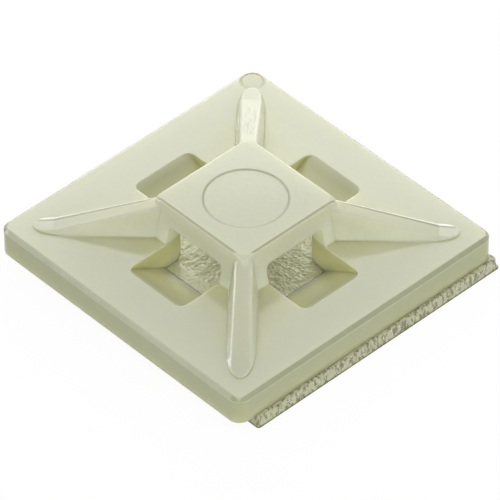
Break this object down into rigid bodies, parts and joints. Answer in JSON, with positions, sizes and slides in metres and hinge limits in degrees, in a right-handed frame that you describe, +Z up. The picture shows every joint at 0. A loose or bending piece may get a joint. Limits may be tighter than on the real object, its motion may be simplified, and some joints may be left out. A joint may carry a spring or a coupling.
{
  "type": "cable tie mount",
  "caption": "Square adhesive-backed cable tie mount: a raised centre platform with crossing tunnels, ramped slots on every side and diagonal ribs, on a foam tape pad with a release liner.",
  "frame": {"origin": "middle of the plastic base's outline, on the surface that the mount is stuck to", "axes": "+Z up, away from that surface. X and Y run along the base's sides and along the two tunnels, with the ejector pin mark at the corner -X, +Y"},
  "size_m": [0.0259, 0.0255, 0.0063],
  "materials": {
    "natural_nylon": "satin, slightly translucent cream nylon",
    "foam_tape": "wrinkled acrylic-coated foam, grey-cream",
    "release_liner": "thin, dark at the edge"
  },
  "bodies": {
    "root": {"mount_body": "natural_nylon", "foam_tape": "foam_tape", "release_liner": "release_liner"}
  },
  "joints": []
}
